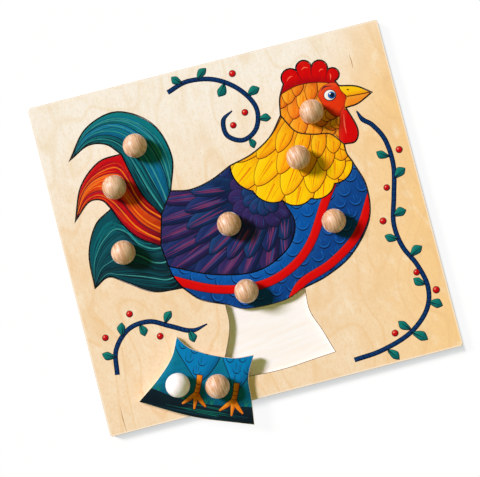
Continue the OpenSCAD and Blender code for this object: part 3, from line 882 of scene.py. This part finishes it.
profile = [(0, HOLE_H), (HOLE_R, HOLE_H), (HOLE_R, 0), (FOOT_R - CHAMFER, 0), (FOOT_R, CHAMFER)]
for a in np.linspace(0, math.pi / 2, 7):
    profile.append((FOOT_R - (FOOT_R - NECK_R) * math.sin(a), FOOT_H + (NECK_H - FOOT_H) * (1 - math.cos(a))))
for a in np.linspace(-BALL_START, math.pi / 2, 25)[:-1]:
    rise = (math.sin(a) + math.sin(BALL_START)) / (1 + math.sin(BALL_START))
    profile.append((KNOB_R * math.cos(a), NECK_H + (KNOB_H - NECK_H) * rise))
profile.append((0, KNOB_H))
for name in ("head", "hackle", "wing", "body_front", "body_rear", "upper_plume", "middle_plume",
             "lower_plume", "feet_left", "feet_right"):
    low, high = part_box(name + "_knob")
    mesh = bmesh.new()
    chain = [mesh.verts.new((r * MM, 0, z * MM)) for r, z in profile]
    edges = [mesh.edges.new(pair) for pair in zip(chain, chain[1:])]
    bmesh.ops.spin(mesh, geom=chain + edges, axis=(0, 0, 1), angle=math.tau, steps=48, use_merge=True)
    bmesh.ops.remove_doubles(mesh, verts=mesh.verts, dist=1e-7)
    bmesh.ops.recalc_face_normals(mesh, faces=mesh.faces)
    bmesh.ops.translate(mesh, verts=mesh.verts, vec=((low.x + high.x) / 2, (low.y + high.y) / 2, low.z))
    wood, slot = waxed_beech, "turned_beech"
    if name == "feet_left":
        wood, slot = white_beech, "white_lacquered_beech"
    body = name if name.endswith("plume") else name.split("_")[0]
    finished(mesh, name + "_turned_knob", [wood], name + "_knob", body, crisp=40)
    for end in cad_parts[name + "_dowel"].material_slots:
        end.material = end_grain

# Table, light and camera
# The puzzle lies on a white table, lit from its upper left by one broad lamp and by the room. The table
# takes a soft shadow close to the board, and lights the object as plain white paper does.


def seen_directly(add):
    """1 for rays from the camera, off gloss and through glass, else 0."""
    rays = [add("LightPath", take="Is " + kind + " Ray") for kind in ("Camera", "Glossy", "Transmission")]
    return add("Math", (add("Math", rays[:2], "MAXIMUM"), rays[2]), "MAXIMUM")


# Matt white card that also glows for the camera: close to the board it takes the puzzle's shadow, which its
# bluish glow tints, and from 10 mm away, or from 3 mm at the board's left and right, the glow is painted light
# that fills the shadow to nearly plain white
white_table, add, point = blank_material("white_table")
# Share of painted fill light over the shadow: none at the board, most from 10 mm away
shadow_fill_share = add("MapRange", (past_board(add, point, x_share=3.5), 0.0, 10.0, 0.0, 0.85),
           interpolation_type="SMOOTHSTEP")
matt = add("BsdfDiffuse", [layered(add, "#c6bca6", (shadow_fill_share, "#000000"))])
glow = add("Emission", (layered(add, "#b6bcca", (shadow_fill_share, "#ffffff")), 1.0))
plain = add("BsdfDiffuse", [(0.86, 0.86, 0.86, 1)])
add("OutputMaterial", [add("MixShader", (seen_directly(add), plain, add("AddShader", (matt, glow))))])

# It lies 0.2 mm under the board's underside, so that the two faces stay apart
mesh = bmesh.new()
bmesh.ops.create_grid(mesh, x_segments=1, y_segments=1, size=4.0)
bmesh.ops.translate(mesh, verts=mesh.verts, vec=(0, 0, -0.2 * MM))
table = shown("table", made_mesh(mesh, "table", [white_table]))

# The room fills the shade with a dim, yellowish green light, and shows as white itself
world = bpy.data.worlds.new("room")
bpy.context.scene.world = world
world.use_nodes = True
world.node_tree.nodes.clear()
add = partial(add_node, world.node_tree)
room, white = (add("Background", (colour, 1.0)) for colour in ((0.225, 0.25, 0.06, 1), (1, 1, 1, 1)))
add("OutputWorld", [add("MixShader", (seen_directly(add), room, white))])

sun = bpy.data.lights.new("studio_lamp", "SUN")
sun.energy = 4.906
sun.color = (0.824, 0.798, 1.0)
sun.angle = math.radians(15)
lamp = shown("studio_lamp", sun)
lamp.rotation_euler = Vector((-0.643, 0.473, 0.602)).to_track_quat("Z", "Y").to_euler()

# The photograph is 480 by 477 pixels of 0.8264 mm, with the board's middle at BOARD_X, BOARD_Y
FRAME_W, FRAME_H, BOARD_X, BOARD_Y = 480, 477, 244.7, 226.75
PIXEL = 0.8264 * MM
LENS, SENSOR = 120.0, 36.0
turn, tilt = math.radians(-14.5), math.radians(87)
back = Vector((math.sin(turn) * math.cos(tilt), -math.cos(turn) * math.cos(tilt), math.sin(tilt)))
right = Vector((math.cos(turn), math.sin(turn), 0))
ahead = Vector((-math.sin(turn), math.cos(turn), 0))
aim = Vector((0, 0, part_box("frame_board")[1].z))
aim -= right * (BOARD_X - FRAME_W / 2) * PIXEL + ahead * (FRAME_H / 2 - BOARD_Y) * PIXEL
camera_data = bpy.data.cameras.new("camera")
camera_data.sensor_fit = "HORIZONTAL"
camera_data.sensor_width = SENSOR
camera_data.lens = LENS
camera_data.clip_end = 20
camera = shown("camera", camera_data)
camera.matrix_world = Matrix.Translation(aim + back * (LENS / SENSOR * FRAME_W * PIXEL)) @ Matrix(
    (right, back.cross(right), back)).transposed().to_4x4()
bpy.context.scene.camera = camera
bpy.context.scene.view_settings.view_transform = "Standard"
